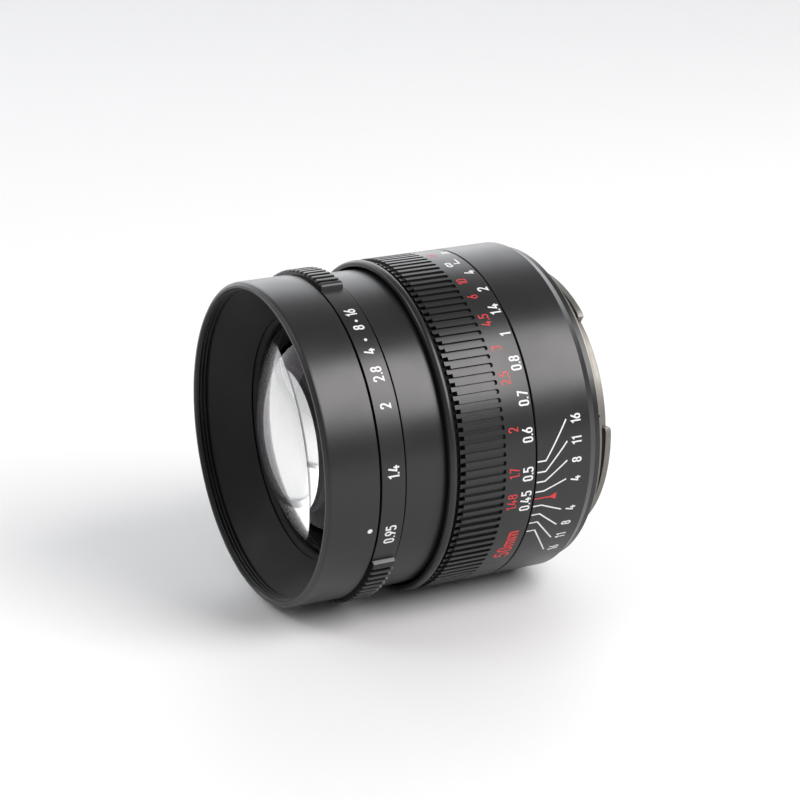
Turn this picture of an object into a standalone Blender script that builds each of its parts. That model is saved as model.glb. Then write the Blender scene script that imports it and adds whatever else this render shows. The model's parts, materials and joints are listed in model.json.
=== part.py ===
"""A manual-focus 50 mm f/0.95 prime lens, lying on its side, as an assembly of separate pieces.

Run with: blender --background --python part.py

Every length is in millimetres and becomes metres where a mesh is made. "Along" is a distance on the
optical axis, measured from the front face towards the camera. An angle is measured about the axis
from the side (world +X) towards the top (world +Z). The optical axis lies along world Y, with the
front of the lens at -Y. The world origin is on the table, under the middle of the lens. The lens is
modelled at its closest focus and its widest aperture.
"""

import math

import bmesh
import bpy
from mathutils import Matrix

MM = 0.001

# Driving dimensions.
LENGTH = 64.9
GRIP_RADIUS = 33.6  # focus ring and rear barrel, the widest parts
FRONT_RADIUS = 32.5  # outside of the 62 mm filter thread
FILTER_RADIUS = 31.0
SLEEVE_RADIUS = 31.8
APERTURE_RING_RADIUS = 32.3
APERTURE_GRIP_RADIUS = 33.5
BARREL_END = 10.95
APERTURE_RING_START, APERTURE_RING_END = 11.4, 16.5
FOCUS_RING_START, FOCUS_RING_END = 25.5, 44.1
REAR_BARREL_START, REAR_BARREL_END = 44.4, 59.3
FLANGE_START, FLANGE_END = 59.6, 60.5
FLANGE_RADIUS = 31.2
THROAT_RADIUS = 23.9
MOUNT_CORE_RADIUS = 25.5
LUG_RADIUS = 27.5
LUG_COUNT = 3
LUG_SPAN = 70.0
LUG_CENTRE = -31.0
GAP = 0.3  # between pieces that touch

# Motion.
FOCUS_TRAVEL = 7.4  # how far the optical unit draws back from 0.45 m to infinity
APERTURE_THROW = 83.3
BLADE_SWING = 35.5

# Facets of a full turn.
VISIBLE_STEPS = 40
CELL_STEPS = 32
INNER_STEPS = 24

# Iris.
BLADE_COUNT = 13
STOP_RADIUS = 15.3
BLADE_INNER_RADIUS = 15.5
BLADE_OUTER_RADIUS = 21.6
BLADE_SPAN = 100.0
BLADE_THICKNESS = 0.1
BLADE_PITCH = 0.2  # each blade has its own level, so that none touches the next
BLADES_START = 29.3
PIVOT_CIRCLE = 23.8
PIVOT_RADIUS = 0.45
LEVER_LENGTH = 8.5
FOLLOWER_RADIUS = 0.3
CAM_START, CAM_END = 27.9, 28.8
CAM_SLOT_HALF_WIDTH = 0.5
PLATE_START, PLATE_END = 32.1, 33.1
LINK_ANGLE = 100.0
LINK_WIDTH = 3.0
LINK_INNER, LINK_OUTER = 28.6, 29.8

# The aperture ring's two ribbed pads, the sleeve's guide keys, and the screws that hold the mount.
PAD_STARTS = (79.0, 259.0)
PAD_SPAN = 70.0
KEY_ANGLES = (0.0, 180.0)
KEY_WIDTH = 3.3
SET_SCREW_ANGLES = (120.0, 180.0, 240.0)
SET_SCREW_ALONG = 43.0
SCREW_CIRCLE = 28.9
SCREW_ANGLES = (45.0, 135.0, 225.0, 315.0)

MATERIALS = {
    "black_anodised": ((0.018, 0.018, 0.019), 0.42, 0.7),
    "matt_black": ((0.010, 0.010, 0.010), 0.75, 0.2),
    "brass": ((0.62, 0.44, 0.17), 0.35, 1.0),
    "chromed_brass": ((0.60, 0.59, 0.57), 0.25, 1.0),
    "blackened_steel": ((0.050, 0.050, 0.055), 0.45, 0.9),
    "black_plastic": ((0.020, 0.020, 0.021), 0.6, 0.0),
    "coated_glass": ((0.80, 0.86, 0.90), 0.03, 0.0),
}


def start_collection(name):
    collection = bpy.data.collections.new(name)
    bpy.context.scene.collection.children.link(collection)
    return collection


def clear_scene():
    for obj in list(bpy.data.objects):
        bpy.data.objects.remove(obj, do_unlink=True)


def make_material(name):
    colour, roughness, metallic = MATERIALS[name]
    material = bpy.data.materials.new(name)
    material.use_nodes = True
    shader = material.node_tree.nodes["Principled BSDF"]
    shader.inputs["Base Color"].default_value = (*colour, 1.0)
    shader.inputs["Roughness"].default_value = roughness
    shader.inputs["Metallic"].default_value = metallic
    if name == "coated_glass":
        shader.inputs["Transmission Weight"].default_value = 0.9
    return material


def on_axis(radius, angle, along=0.0):
    """A point in the lens frame, whose Z runs along the optical axis towards the camera."""
    turn = math.radians(angle)
    return (radius * math.cos(turn) * MM, -radius * math.sin(turn) * MM, along * MM)


def add_empty(name, parent=None, location=(0, 0, 0), rotation=(0, 0, 0)):
    empty = bpy.data.objects.new(name, None)
    empty.empty_display_size = 0.01
    empty.location = location
    empty.rotation_euler = rotation
    empty.parent = parent
    parts.objects.link(empty)
    return empty


def place(obj, material, parent):
    obj.data.materials.clear()
    obj.data.materials.append(materials[material])
    obj.parent = parent
    parts.objects.link(obj)
    return obj


def shade_round(mesh):
    mesh.shade_smooth()
    mesh.set_sharp_from_angle(angle=math.radians(35))


def turned_mesh(name, profile, steps, closed=True):
    """A mesh turned about the lens axis from (along, radius) points, which a Screw modifier sweeps."""
    area = sum(a[1] * b[0] - b[1] * a[0] for a, b in zip(profile, profile[1:] + profile[:1]))
    points = profile if area < 0 else profile[::-1]
    mesh = bpy.data.meshes.new(name)
    edges = [(i, i + 1) for i in range(len(points) - 1)]
    if closed:
        edges.append((len(points) - 1, 0))
    mesh.from_pydata([(radius * MM, 0.0, along * MM) for along, radius in points], edges, [])
    obj = bpy.data.objects.new(name, mesh)
    cutters.objects.link(obj)
    screw = obj.modifiers.new("Turn", "SCREW")
    screw.axis = "Z"
    screw.steps = screw.render_steps = steps
    screw.use_merge_vertices = True
    screw.merge_threshold = 1e-6
    return baked(obj, name, math.pi / steps)


def baked(obj, name, turn=0.0):
    """The evaluated mesh of a helper object, turned half a facet so that a flat faces down."""
    bpy.context.view_layer.update()
    graph = bpy.context.evaluated_depsgraph_get()
    mesh = bpy.data.meshes.new_from_object(obj.evaluated_get(graph))
    mesh.name = name
    work = bmesh.new()
    work.from_mesh(mesh)
    bmesh.ops.remove_doubles(work, verts=work.verts, dist=1e-7)
    bmesh.ops.rotate(work, verts=work.verts, cent=(0, 0, 0), matrix=turn_about_axis(turn))
    work.to_mesh(mesh)
    work.free()
    bpy.data.objects.remove(obj, do_unlink=True)
    return mesh


def turn_about_axis(angle):
    return Matrix.Rotation(angle, 3, "Z")


def turned(name, profile, material, parent, steps=INNER_STEPS, closed=True):
    mesh = turned_mesh(name, profile, steps, closed)
    shade_round(mesh)
    return place(bpy.data.objects.new(name, mesh), material, parent)


def flat_mesh(name, outlines, start, end):
    """A plate across the lens axis from closed outlines of (x, y) points: the first is its rim."""
    curve = bpy.data.curves.new(name, "CURVE")
    curve.dimensions = "2D"
    curve.fill_mode = "BOTH"
    curve.extrude = (end - start) / 2 * MM
    for outline in outlines:
        spline = curve.splines.new("POLY")
        spline.points.add(len(outline) - 1)
        for point, (x, y) in zip(spline.points, outline):
            point.co = (x, y, 0, 1)
        spline.use_cyclic_u = True
    obj = bpy.data.objects.new(name, curve)
    cutters.objects.link(obj)
    mesh = baked(obj, name)
    mesh.transform(Matrix.Translation((0, 0, (start + end) / 2 * MM)))
    bpy.data.curves.remove(curve)
    return mesh


def circle(radius, steps, centre=(0.0, 0.0), start=0.0):
    return [
        (
            centre[0] + radius * MM * math.cos(math.radians(start) + math.tau * i / steps),
            centre[1] + radius * MM * math.sin(math.radians(start) + math.tau * i / steps),
        )
        for i in range(steps)
    ]


def arc(radius, first, last, steps):
    return [on_axis(radius, first + (last - first) * i / steps)[:2] for i in range(steps + 1)]


def sector(inner, outer, first, last, steps):
    return arc(outer, first, last, steps) + arc(inner, last, first, steps)


def cylinder_mesh(name, radius, start, end, centre=(0.0, 0.0), steps=12):
    return flat_mesh(name, [circle(radius, steps, centre)], start, end)


def cutter(name, mesh):
    obj = bpy.data.objects.new(name, mesh)
    obj.hide_render = True
    obj.display_type = "WIRE"
    cutters.objects.link(obj)
    return obj


def combine(obj, mesh, operation):
    """Cuts a mesh from an object, or joins it, with an exact Boolean."""
    helper = cutter(f"{obj.name}_{operation.lower()}_{len(obj.modifiers)}", mesh)
    helper.parent = obj.parent
    modifier = obj.modifiers.new(operation.title(), "BOOLEAN")
    modifier.operation = operation
    modifier.solver = "EXACT"
    modifier.object = helper


def bar_mesh(name, inner, outer, width, start, end, angle):
    """A straight bar along the axis, between two radii at one angle."""
    work = bmesh.new()
    bmesh.ops.create_cube(work, size=1.0)
    bmesh.ops.scale(work, vec=((outer - inner) * MM, width * MM, (end - start) * MM), verts=work.verts)
    bmesh.ops.translate(work, vec=((inner + outer) / 2 * MM, 0, (start + end) / 2 * MM), verts=work.verts)
    matrix = turn_about_axis(-math.radians(angle))
    bmesh.ops.rotate(work, verts=work.verts, cent=(0, 0, 0), matrix=matrix)
    mesh = bpy.data.meshes.new(name)
    work.to_mesh(mesh)
    work.free()
    return mesh


def sphere_depth(curvature, radius):
    return curvature - math.sqrt(curvature**2 - radius**2)


def dome(apex, curvature, radius, steps, direction):
    """Points of a spherical face from the axis out, direction +1 where the edge lies further back."""
    return [
        (apex + direction * sphere_depth(curvature, radius * i / steps), radius * i / steps)
        for i in range(steps + 1)
    ]


def lens_element(name, front, rear, radius, steps=INNER_STEPS, face_steps=2):
    """A round element. Each face is (apex, curvature, clear radius, direction), or one flat position."""

    def face(spec):
        if isinstance(spec, tuple):
            apex, curvature, clear, direction = spec
            points = dome(apex, curvature, clear, face_steps, direction)
            return points if clear == radius else points + [(points[-1][0], radius)]
        return [(spec, 0.0), (spec, radius)]

    turned(name, face(front) + face(rear)[::-1], "coated_glass", optics, steps, closed=False)


def front_barrel():
    """The outer front shell: filter thread, light-trap cone, and a hollow that screws onto the cell."""
    cone_start, cone_end, cone_rear_radius = 2.9, 10.1, 24.7
    wall = 1.7
    skirt_radius = 30.2
    slope = (cone_rear_radius - FILTER_RADIUS + 0.2) / (cone_end - cone_start)
    hollow_start = cone_start + (skirt_radius - wall - FILTER_RADIUS + 0.2) / slope
    turned(
        "front_barrel",
        [
            (0.0, FRONT_RADIUS - 0.6),
            (0.4, FRONT_RADIUS),
            (BARREL_END, FRONT_RADIUS),
            (BARREL_END, skirt_radius),
            (hollow_start, skirt_radius),
            (cone_end, cone_rear_radius + wall),
            (cone_end, cone_rear_radius),
            (cone_start, FILTER_RADIUS - 0.2),
            (0.3, FILTER_RADIUS),
            (0.0, FILTER_RADIUS + 0.3),
        ],
        "black_anodised",
        optics,
        VISIBLE_STEPS,
    )


def front_cell():
    """The cell that carries the front barrel and the three elements before the iris."""
    turned(
        "front_cell",
        [
            (8.6, 29.9),
            (12.4, 29.9),
            (12.4, 27.8),
            (16.6, 27.8),
            (16.6, 23.0),
            (27.2, 23.0),
            (27.2, 21.2),
            (28.6, 21.2),
            (28.6, 20.3),
            (21.8, 20.3),
            (21.8, 21.3),
            (15.5, 21.3),
            (15.5, 25.5),
            (12.7, 25.5),
            (12.7, 26.3),
            (10.5, 26.3),
            (10.5, 28.3),
            (8.6, 28.3),
        ],
        "matt_black",
        optics,
        CELL_STEPS,
    )
    turned(
        "front_retaining_ring",
        [(10.5, 24.8), (10.5, 25.9), (12.5, 25.9), (12.0, 24.2)],
        "matt_black",
        optics,
        CELL_STEPS,
    )
    turned(
        "front_spacer",
        [(15.7, 20.1), (15.7, 21.0), (19.4, 21.0), (19.1, 20.1)],
        "matt_black",
        optics,
    )
    lens_element("element_1_front", (3.6, 38.0, 25.2, 1), (12.8, 110.0, 23.0, 1), 25.2, CELL_STEPS, 4)
    lens_element("element_2", (13.5, 36.0, 21.0, 1), 21.5, 21.0)
    lens_element("element_3", 21.6, (22.9, 24.0, 15.0, 1), 20.0)


def rear_cell():
    """The cell that carries the four elements behind the iris."""
    turned(
        "rear_cell",
        [
            (33.4, 25.9),
            (34.6, 25.9),
            (34.6, 19.6),
            (56.6, 19.6),
            (57.4, 18.8),
            (57.4, 17.8),
            (47.1, 17.8),
            (47.1, 15.4),
            (41.3, 15.4),
            (41.3, 16.8),
            (33.4, 16.8),
        ],
        "matt_black",
        optics,
    )
    lens_element("element_4", (37.4, 26.0, 13.5, -1), 38.5, 16.5)
    lens_element("element_5", 38.6, (45.3, 28.0, 16.5, -1), 16.5)
    lens_element("element_6", (45.9, 70.0, 17.5, 1), (51.3, 70.0, 17.5, -1), 17.5)
    lens_element("element_7_rear", (51.8, 40.0, 17.5, 1), 56.4, 17.5)
    turned(
        "rear_spacer",
        [(49.7, 16.4), (49.7, 17.4), (54.8, 17.4), (54.8, 16.4)],
        "matt_black",
        optics,
    )
    turned(
        "rear_retaining_ring",
        [(56.7, 15.9), (56.7, 17.5), (57.4, 17.5), (57.4, 16.4)],
        "matt_black",
        optics,
    )


def focusing_sleeve():
    """The smooth sleeve that slides out as the lens focuses closer, with its thread tube behind."""
    sleeve = turned(
        "focusing_sleeve",
        [
            (16.9, SLEEVE_RADIUS),
            (34.7, SLEEVE_RADIUS),
            (34.7, 28.9),
            (49.3, 28.9),
            (49.3, 26.5),
            (33.4, 26.5),
            (33.4, 30.3),
            (18.4, 30.3),
            (18.4, 23.4),
            (16.9, 23.4),
        ],
        "black_anodised",
        optics,
        VISIBLE_STEPS,
    )
    slot_clearance = 5.0
    slot = sector(
        LINK_INNER - GAP,
        LINK_OUTER + GAP,
        LINK_ANGLE - APERTURE_THROW - slot_clearance,
        LINK_ANGLE + slot_clearance,
        14,
    )
    combine(sleeve, flat_mesh("link_window", [slot], 15.9, 19.4), "DIFFERENCE")
    for angle in KEY_ANGLES:
        key_way = bar_mesh("key_way", 25.5, 30.0, KEY_WIDTH + 2 * GAP, 36.8, 50.3, angle)
        combine(sleeve, key_way, "DIFFERENCE")


def guide_keys():
    """Two straight keys on the rear barrel that stop the optical unit turning."""
    for number, angle in enumerate(KEY_ANGLES, 1):
        name = f"guide_key_{number}"
        key = bpy.data.objects.new(name, bar_mesh(name, 26.9, 28.6, KEY_WIDTH, 44.8, 57.2, angle))
        place(key, "brass", lens)


def aperture_ring():
    ring = turned(
        "aperture_ring",
        [
            (APERTURE_RING_START, APERTURE_RING_RADIUS - 0.3),
            (APERTURE_RING_START + 0.3, APERTURE_RING_RADIUS),
            (APERTURE_RING_END, APERTURE_RING_RADIUS),
            (APERTURE_RING_END, 28.4),
            (15.0, 28.4),
            (15.0, 30.25),
            (APERTURE_RING_START, 30.25),
        ],
        "black_anodised",
        aperture,
        VISIBLE_STEPS,
    )
    for first in PAD_STARTS:
        pad = sector(31.4, APERTURE_GRIP_RADIUS, first, first + PAD_SPAN, 10)
        combine(ring, flat_mesh("grip_pad", [pad], 11.8, 16.2), "UNION")
    notch = bar_mesh("link_notch", 27.5, 30.1, LINK_WIDTH + 0.5, 14.0, 17.5, LINK_ANGLE)
    combine(ring, notch, "DIFFERENCE")
    link = bar_mesh("aperture_link", LINK_INNER, LINK_OUTER, LINK_WIDTH, 15.1, CAM_END, LINK_ANGLE)
    place(bpy.data.objects.new("aperture_link", link), "brass", aperture)


def follower_at(swing):
    """The radius and angle of a blade's follower pin, from its pivot's own angle, at one swing."""
    lever = math.radians(-90 - BLADE_SWING / 2 + swing)
    x = PIVOT_CIRCLE + LEVER_LENGTH * math.cos(lever)
    y = LEVER_LENGTH * math.sin(lever)
    return math.hypot(x, y), math.degrees(math.atan2(y, x))


def cam_slot(pivot_angle):
    """A slot that swings its blade by an even share of each degree that the cam ring turns."""
    steps = 11
    overrun = 0.04
    middle = []
    for i in range(steps + 1):
        share = -overrun + (1 + 2 * overrun) * i / steps
        radius, angle = follower_at(share * BLADE_SWING)
        middle.append((radius, pivot_angle + angle + share * APERTURE_THROW))
    outer = [on_axis(radius + CAM_SLOT_HALF_WIDTH, angle)[:2] for radius, angle in middle]
    inner = [on_axis(radius - CAM_SLOT_HALF_WIDTH, angle)[:2] for radius, angle in middle]
    return outer + inner[::-1]


def cam_ring():
    """The ring that drives the blades. Its rim has a notch that the link from the aperture ring fits."""
    inner_radius, outer_radius, notch_radius = 21.5, 29.3, 28.4
    notch_half = math.degrees((LINK_WIDTH / 2 + GAP) / outer_radius)
    rim = arc(outer_radius, LINK_ANGLE + notch_half, LINK_ANGLE + 360 - notch_half, CELL_STEPS)
    rim += arc(notch_radius, LINK_ANGLE - notch_half, LINK_ANGLE + notch_half, 1)
    outlines = [rim, circle(inner_radius, CELL_STEPS)]
    outlines += [cam_slot(angle) for angle in blade_angles()]
    mesh = flat_mesh("cam_ring", outlines, CAM_START, CAM_END)
    place(bpy.data.objects.new("cam_ring", mesh), "blackened_steel", aperture)


def blade_angles():
    return [360.0 * number / BLADE_COUNT for number in range(BLADE_COUNT)]


def blade_outline():
    """A blade about its pivot circle at angle 0: a crescent, an eye on the pivot, and a short lever."""
    eye, lever_half = 1.3, 0.8
    outer = arc(BLADE_OUTER_RADIUS, 6.0, BLADE_SPAN, 8)
    tip = [on_axis((BLADE_INNER_RADIUS + BLADE_OUTER_RADIUS) / 2, BLADE_SPAN + 6.0)[:2]]
    inner = arc(BLADE_INNER_RADIUS, BLADE_SPAN, -3.0, 9)
    lever_angle = math.radians(-90 - BLADE_SWING / 2)
    along = (math.cos(lever_angle), math.sin(lever_angle))
    across = (-along[1], along[0])

    def lever_point(distance, side):
        x = PIVOT_CIRCLE + along[0] * distance + across[0] * side
        y = along[1] * distance + across[1] * side
        return (x * MM, -y * MM)

    lever = [
        lever_point(2.2, -lever_half),
        lever_point(LEVER_LENGTH, -lever_half),
        lever_point(LEVER_LENGTH + lever_half, 0.0),
        lever_point(LEVER_LENGTH, lever_half),
        lever_point(1.6, lever_half),
    ]
    eye_points = [
        ((PIVOT_CIRCLE + eye * math.cos(turn)) * MM, -eye * math.sin(turn) * MM)
        for turn in (math.radians(a) for a in (-45, 0, 45, 80))
    ]
    return outer + tip + inner + lever + eye_points


def iris_blades():
    pivots = [on_axis(PIVOT_CIRCLE, angle) for angle in blade_angles()]
    radius, angle = follower_at(0.0)
    follower = on_axis(radius, angle)
    for number, (pivot, turn) in enumerate(zip(pivots, blade_angles())):
        start = BLADES_START + BLADE_PITCH * number
        end = start + BLADE_THICKNESS
        name = f"iris_blade_{number + 1:02d}"
        blade = bpy.data.objects.new(name, flat_mesh(name, [blade_outline()], start, end))
        home = on_axis(PIVOT_CIRCLE, 0.0)
        pivot_pin = cylinder_mesh("pin", PIVOT_RADIUS, start + 0.03, PLATE_END - 0.2, home[:2], 6)
        follower_pin = cylinder_mesh("pin", FOLLOWER_RADIUS, CAM_START + 0.1, end - 0.03, follower[:2], 6)
        for mesh in (blade.data, pivot_pin, follower_pin):
            mesh.transform(Matrix.Translation((-home[0], 0, 0)))
        empty = add_empty(f"{name}_pivot", optics, (pivot[0], pivot[1], 0), (0, 0, -math.radians(turn)))
        place(blade, "blackened_steel", empty)
        combine(blade, pivot_pin, "UNION")
        combine(blade, follower_pin, "UNION")


def blade_plate():
    """The plate behind the blades that holds their pivots and sets the widest aperture."""
    holes = [circle(PIVOT_RADIUS + 0.3, 6, on_axis(PIVOT_CIRCLE, angle)[:2]) for angle in blade_angles()]
    outlines = [circle(29.9, CELL_STEPS), circle(STOP_RADIUS, CELL_STEPS), *holes]
    mesh = flat_mesh("blade_plate", outlines, PLATE_START, PLATE_END)
    place(bpy.data.objects.new("blade_plate", mesh), "blackened_steel", optics)


def focus_ring():
    lip_end, groove_end, groove_radius = 27.2, 27.6, 32.9
    ring = turned(
        "focus_ring",
        [
            (FOCUS_RING_START, 32.5),
            (FOCUS_RING_START, 33.1),
            (FOCUS_RING_START + 0.5, GRIP_RADIUS),
            (lip_end - 0.3, GRIP_RADIUS),
            (lip_end, groove_radius),
            (groove_end, groove_radius),
            (groove_end + 0.2, GRIP_RADIUS),
            (FOCUS_RING_END, GRIP_RADIUS),
            (FOCUS_RING_END, 32.2),
            (FOCUS_RING_START + 1.0, 32.2),
        ],
        "black_anodised",
        focus,
        VISIBLE_STEPS,
    )
    for number, angle in enumerate(SET_SCREW_ANGLES, 1):
        hole = radial_pin("hole", 1.1, 31.0, 35.0, SET_SCREW_ALONG, angle)
        combine(ring, hole, "DIFFERENCE")
        name = f"focus_set_screw_{number}"
        screw = bpy.data.objects.new(name, radial_pin(name, 0.8, 32.25, 33.3, SET_SCREW_ALONG, angle))
        place(screw, "blackened_steel", focus)
    turned(
        "focus_helicoid",
        [(42.5, 31.9), (46.65, 31.9), (46.65, 32.6), (47.9, 32.6), (47.9, 29.3), (42.5, 29.3)],
        "brass",
        focus,
        CELL_STEPS,
    )


def radial_pin(name, radius, inner, outer, along, angle):
    """A pin that points out from the lens axis."""
    work = bmesh.new()
    bmesh.ops.create_cone(
        work,
        cap_ends=True,
        segments=12,
        radius1=radius * MM,
        radius2=radius * MM,
        depth=(outer - inner) * MM,
    )
    stand = Matrix.Rotation(math.pi / 2, 3, "Y")
    bmesh.ops.rotate(work, verts=work.verts, cent=(0, 0, 0), matrix=stand)
    bmesh.ops.translate(work, vec=((inner + outer) / 2 * MM, 0, along * MM), verts=work.verts)
    matrix = turn_about_axis(-math.radians(angle))
    bmesh.ops.rotate(work, verts=work.verts, cent=(0, 0, 0), matrix=matrix)
    mesh = bpy.data.meshes.new(name)
    work.to_mesh(mesh)
    work.free()
    return mesh


def rear_barrel():
    chamfer_start, chamfer_end = 56.45, 58.2
    barrel = turned(
        "rear_barrel",
        [
            (REAR_BARREL_START, GRIP_RADIUS),
            (chamfer_start, GRIP_RADIUS),
            (chamfer_end, 32.6),
            (REAR_BARREL_END, 32.3),
            (REAR_BARREL_END, 25.2),
            (57.5, 25.2),
            (57.5, 31.2),
            (50.9, 31.2),
            (50.9, 32.9),
            (46.3, 32.9),
            (46.3, 32.25),
            (REAR_BARREL_START, 32.25),
        ],
        "black_anodised",
        lens,
        VISIBLE_STEPS,
    )
    for angle in SCREW_ANGLES:
        centre = on_axis(SCREW_CIRCLE, angle)[:2]
        combine(barrel, cylinder_mesh("hole", 1.1, 56.5, 60.3, centre), "DIFFERENCE")
    turned(
        "helicoid_keeper_ring",
        [(48.2, 29.8), (48.2, 32.6), (49.5, 32.6), (49.5, 29.8)],
        "brass",
        lens,
        CELL_STEPS,
    )


def bayonet_mount():
    lug_start = 63.6
    mount = turned(
        "bayonet_mount",
        [
            (57.9, 24.9),
            (FLANGE_START, 24.9),
            (FLANGE_START, FLANGE_RADIUS),
            (FLANGE_END, FLANGE_RADIUS),
            (FLANGE_END, MOUNT_CORE_RADIUS),
            (LENGTH, MOUNT_CORE_RADIUS),
            (LENGTH, THROAT_RADIUS),
            (57.9, THROAT_RADIUS),
        ],
        "chromed_brass",
        lens,
        VISIBLE_STEPS,
    )
    for number in range(LUG_COUNT):
        middle = LUG_CENTRE + 360.0 * number / LUG_COUNT
        lug = sector(24.6, LUG_RADIUS, middle - LUG_SPAN / 2, middle + LUG_SPAN / 2, 9)
        combine(mount, flat_mesh("lug", [lug], lug_start, LENGTH), "UNION")
    for number, angle in enumerate(SCREW_ANGLES, 1):
        centre = on_axis(SCREW_CIRCLE, angle)[:2]
        combine(mount, cylinder_mesh("hole", 1.7, 59.0, 61.1, centre), "DIFFERENCE")
        name = f"mount_screw_{number}"
        profile = [(57.6, 0.0), (57.6, 0.75), (59.8, 0.75), (60.4, 1.4), (60.45, 1.4), (60.45, 0.0)]
        screw = turned(name, profile, "chromed_brass", lens, 12, closed=False)
        screw.location = (*centre, 0.0)
    turned(
        "rear_baffle",
        [(58.3, 23.6), (64.4, 23.6), (64.4, 21.0), (63.4, 21.0), (63.4, 22.6), (58.3, 22.6)],
        "black_plastic",
        lens,
    )


clear_scene()
parts = start_collection("prime_camera_lens")
cutters = start_collection("cutters")
materials = {name: make_material(name) for name in MATERIALS}
axis_height = GRIP_RADIUS * math.cos(math.pi / VISIBLE_STEPS)
lens = add_empty("lens_axis", None, (0, -LENGTH / 2 * MM, axis_height * MM), (-math.pi / 2, 0, 0))
focus = add_empty("focus_axis", lens)
optics = add_empty("optics_slide", lens)
aperture = add_empty("aperture_axis", optics)

front_barrel()
front_cell()
rear_cell()
focusing_sleeve()
guide_keys()
aperture_ring()
cam_ring()
iris_blades()
blade_plate()
focus_ring()
rear_barrel()
bayonet_mount()
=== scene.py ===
"""The looks of a manual-focus 50 mm f/0.95 prime lens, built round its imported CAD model.

Lengths are in millimetres and become metres where a mesh is made. "Along" is a distance on the
optical axis from the front face towards the camera mount. An angle is in degrees about the axis,
from the side (world +X) towards the top (world +Z).
"""

import json
import math

import bmesh
import bpy
import numpy as np
from mathutils import Matrix, Vector


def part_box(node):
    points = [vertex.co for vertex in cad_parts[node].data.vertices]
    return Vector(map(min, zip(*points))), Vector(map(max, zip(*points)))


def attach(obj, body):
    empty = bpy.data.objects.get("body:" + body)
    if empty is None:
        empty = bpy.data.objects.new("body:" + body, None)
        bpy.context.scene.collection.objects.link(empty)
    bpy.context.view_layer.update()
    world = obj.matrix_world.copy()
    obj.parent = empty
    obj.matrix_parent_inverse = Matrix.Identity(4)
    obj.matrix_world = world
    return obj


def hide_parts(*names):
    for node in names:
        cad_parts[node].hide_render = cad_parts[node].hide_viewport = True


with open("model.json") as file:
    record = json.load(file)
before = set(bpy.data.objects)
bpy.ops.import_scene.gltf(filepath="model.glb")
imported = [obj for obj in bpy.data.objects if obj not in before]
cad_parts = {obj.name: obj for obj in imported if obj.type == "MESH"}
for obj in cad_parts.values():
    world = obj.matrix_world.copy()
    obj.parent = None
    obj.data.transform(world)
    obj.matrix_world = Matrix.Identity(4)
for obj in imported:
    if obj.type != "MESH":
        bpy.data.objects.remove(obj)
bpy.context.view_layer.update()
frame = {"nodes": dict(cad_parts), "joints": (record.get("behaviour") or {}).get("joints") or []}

MM = 0.001
AXIS_HEIGHT = next(j for j in frame["joints"] if j["name"] == "aperture_turn")["pos_m"][2]
FRONT_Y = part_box("front_barrel")[0].y

# Radii and places of the rings, the CAD's own.
GRIP_RADIUS = 33.6
FRONT_RADIUS = 32.5
FILTER_RADIUS = 31.0
SLEEVE_RADIUS = 31.8
APERTURE_RING_RADIUS = 32.3
APERTURE_GRIP_RADIUS = 33.5
FLANGE_RADIUS = 31.2
MOUNT_CORE_RADIUS = 25.5
THROAT_RADIUS = 23.9
LUG_RADIUS = 27.5
SCREW_CIRCLE = 28.9
SCREW_ANGLES = (45.0, 135.0, 225.0, 315.0)

ROUND_STEPS = 256
SMOOTH_ANGLE = math.radians(32.0)
STRAIGHT_ANGLE = math.radians(178.0)
WELD_DISTANCE = 1e-7  # in metres
TURNED_TILT = 0.03  # a turned surface's normals lean sideways by less than this
TINY = 1e-9


# ---------------------------------------------------------------- mesh helpers


def at(radius, degrees, along):
    turn = math.radians(degrees)
    return (
        radius * MM * math.cos(turn),
        FRONT_Y + along * MM,
        AXIS_HEIGHT + radius * MM * math.sin(turn),
    )


def new_object(name, points, faces, weld=True):
    mesh = bpy.data.meshes.new(name)
    mesh.from_pydata(points, [], faces)
    work = bmesh.new()
    work.from_mesh(mesh)
    if weld:
        bmesh.ops.remove_doubles(work, verts=work.verts, dist=WELD_DISTANCE)
    bmesh.ops.recalc_face_normals(work, faces=work.faces)
    work.to_mesh(mesh)
    work.free()
    mesh.shade_smooth()
    mesh.set_sharp_from_angle(angle=SMOOTH_ANGLE)
    obj = bpy.data.objects.new(name, mesh)
    bpy.context.scene.collection.objects.link(obj)
    return obj


def ring_from_columns(name, columns, closed=True):
    """A surface round the axis from (degrees, [(along, radius), ...]) columns of one length."""
    count = len(columns[0][1])
    points = [at(radius, degrees, along) for degrees, column in columns for along, radius in column]
    faces = []
    last = count if closed else count - 1
    for i in range(len(columns)):
        here, there = i * count, (i + 1) % len(columns) * count
        for j in range(last):
            k = (j + 1) % count
            faces.append((here + j, here + k, there + k, there + j))
    return new_object(name, points, faces)


def eased(profile, steps=4):
    """Rounds each (along, radius, fillet) corner of a closed profile. A fillet may be left out."""
    done = []
    count = len(profile)
    for i, corner in enumerate(profile):
        here = Vector(corner[:2])
        fillet = corner[2] if len(corner) > 2 else 0.0
        before, after = Vector(profile[i - 1][:2]), Vector(profile[(i + 1) % count][:2])
        done += rounded_corner(before, here, after, fillet, steps)
    return done


def rounded_corner(before, here, after, fillet, steps):
    back, ahead = before - here, after - here
    if not fillet or min(back.length, ahead.length) == 0:
        return [tuple(here)]
    angle = back.angle(ahead)
    if angle > STRAIGHT_ANGLE:
        return [tuple(here)]
    just_under_half = 0.499
    longest = just_under_half * min(back.length, ahead.length)
    reach = min(fillet / math.tan(angle / 2), longest)
    fillet = reach * math.tan(angle / 2)
    centre = here + (back.normalized() + ahead.normalized()).normalized() * fillet / math.sin(angle / 2)
    start = here + back.normalized() * reach - centre
    end = here + ahead.normalized() * reach - centre
    sweep = start.angle_signed(end)
    return [
        tuple(centre + Matrix.Rotation(-sweep * step / steps, 2) @ start) for step in range(steps + 1)
    ]


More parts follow.
